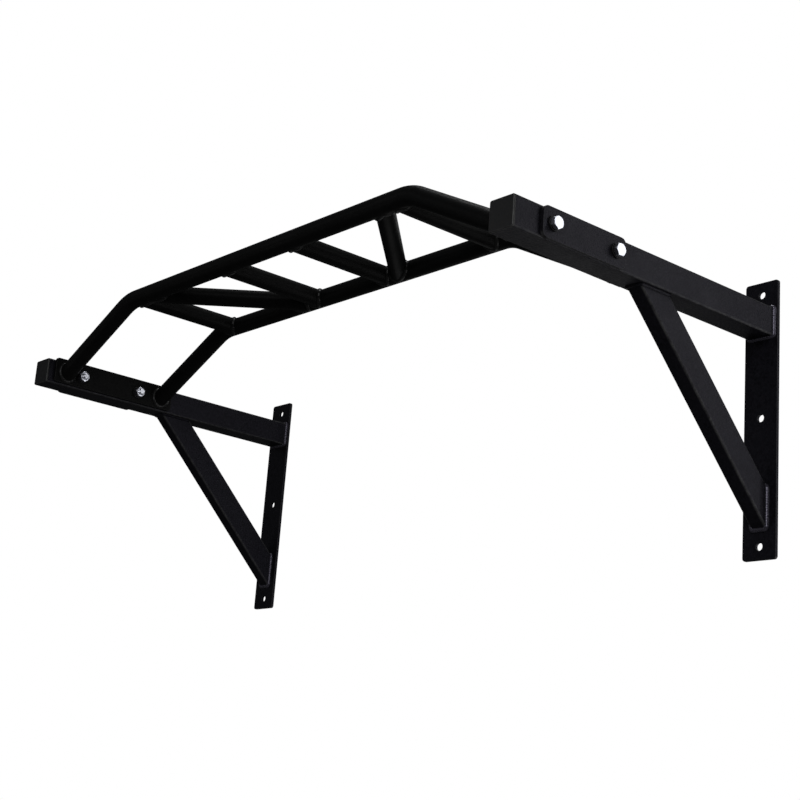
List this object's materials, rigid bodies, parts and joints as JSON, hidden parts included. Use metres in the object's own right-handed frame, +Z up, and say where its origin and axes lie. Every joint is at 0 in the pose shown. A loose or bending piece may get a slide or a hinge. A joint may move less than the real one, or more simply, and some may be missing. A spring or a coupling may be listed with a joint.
{
  "type": "pull up bar",
  "caption": "Wall mounted pull up bar: a welded frame of straight, cross and angled round grips, bent down at its ends and bolted between triangular wall brackets.",
  "frame": {"origin": "on the wall plane, midway between the wall plates and at their mid height", "axes": "+X along the wall to the right as seen from the room, +Y into the wall, +Z up"},
  "size_m": [1.4178, 0.616, 0.5248],
  "materials": {
    "bracket_coat": "black powder coat, fine grain",
    "grip_coat": "black powder coat, satin",
    "zinc": "bright zinc plate",
    "black_washer": "black, satin",
    "cap_plastic": "black, lightly grained"
  },
  "bodies": {
    "root": {"wall_plate_left": "bracket_coat", "wall_plate_right": "bracket_coat", "arm_left": "bracket_coat", "arm_right": "bracket_coat", "brace_left": "bracket_coat", "brace_right": "bracket_coat", "arm_end_cap_left": "cap_plastic", "arm_end_cap_right": "cap_plastic", "backing_plate_left": "bracket_coat", "backing_plate_right": "bracket_coat", "flange_plate_left": "grip_coat", "flange_plate_right": "grip_coat", "front_bar": "grip_coat", "rear_bar": "grip_coat", "outer_cross_bar_left": "grip_coat", "outer_cross_bar_right": "grip_coat", "inner_cross_bar_left": "grip_coat", "inner_cross_bar_right": "grip_coat", "angled_grip_left": "grip_coat", "angled_grip_right": "grip_coat", "bolt_left_front": "zinc", "bolt_left_rear": "zinc", "bolt_right_front": "zinc", "bolt_right_rear": "zinc", "head_washer_left_front": "black_washer", "head_washer_left_rear": "black_washer", "head_washer_right_front": "black_washer", "head_washer_right_rear": "black_washer", "nut_washer_left_front": "black_washer", "nut_washer_left_rear": "black_washer", "nut_washer_right_front": "black_washer", "nut_washer_right_rear": "black_washer", "nut_left_front": "zinc", "nut_left_rear": "zinc", "nut_right_front": "zinc", "nut_right_rear": "zinc"}
  },
  "joints": []
}
